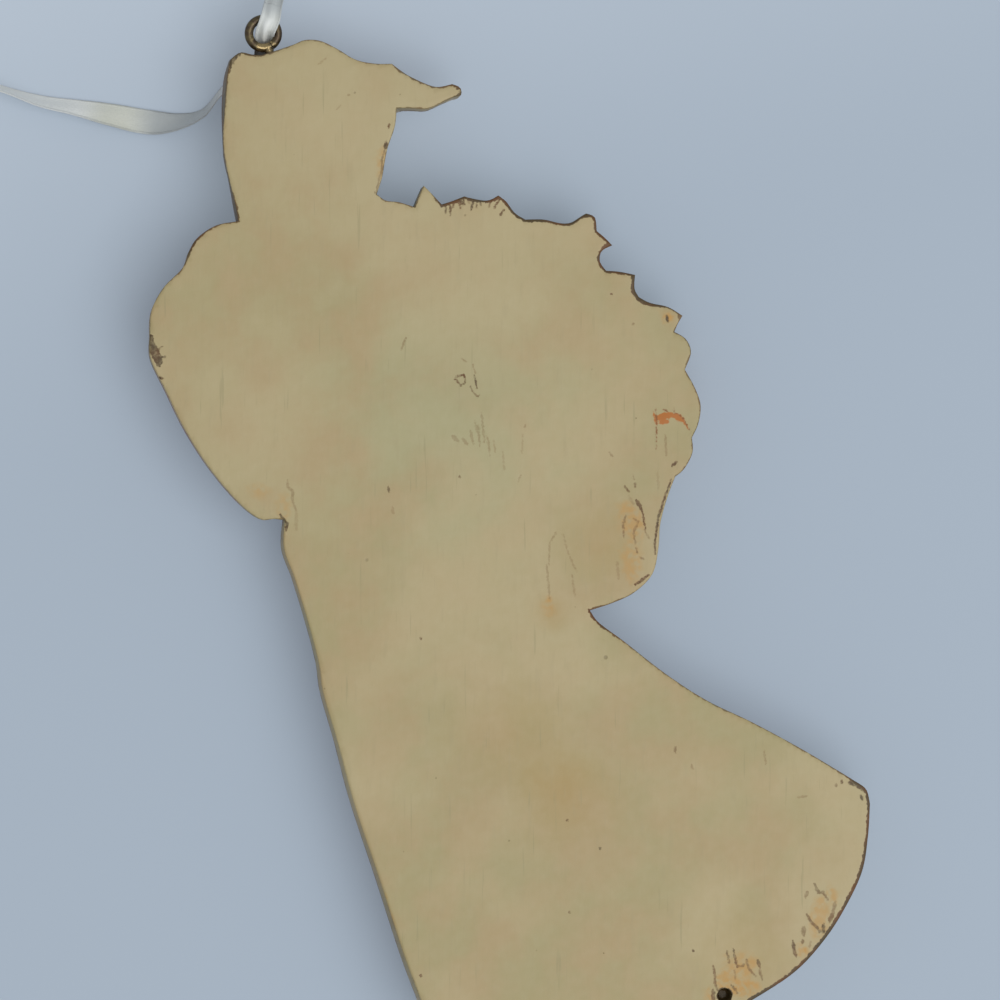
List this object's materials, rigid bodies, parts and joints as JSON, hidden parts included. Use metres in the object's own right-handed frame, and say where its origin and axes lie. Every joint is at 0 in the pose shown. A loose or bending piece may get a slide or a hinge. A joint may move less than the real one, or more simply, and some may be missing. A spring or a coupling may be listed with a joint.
{
  "type": "christmas ornament",
  "caption": "Flat-backed cast resin folk figure in a long robe with a sack of leaves and fruit, brass screw eye in the head, tied satin ribbon loop, lying face down.",
  "frame": {"origin": "under the middle of the box of the casting and its screw eye, on the surface that the relief lies on", "axes": "+Z is the outward normal of the flat back, +Y runs from the hem to the head, +X is to the right when the back is seen"},
  "size_m": [0.1091, 0.1922, 0.0113],
  "materials": {
    "casting": "cast resin painted matt cream, with a brown antiquing wash on the edges",
    "eye": "tarnished, dark in the hollow of the ring",
    "ribbon": "single-face satin"
  },
  "bodies": {
    "root": {"figure_casting": "casting", "screw_eye": "eye", "ribbon_fold": "ribbon", "ribbon_left_run": "ribbon", "ribbon_top_run": "ribbon", "ribbon_knot": "ribbon"}
  },
  "joints": []
}
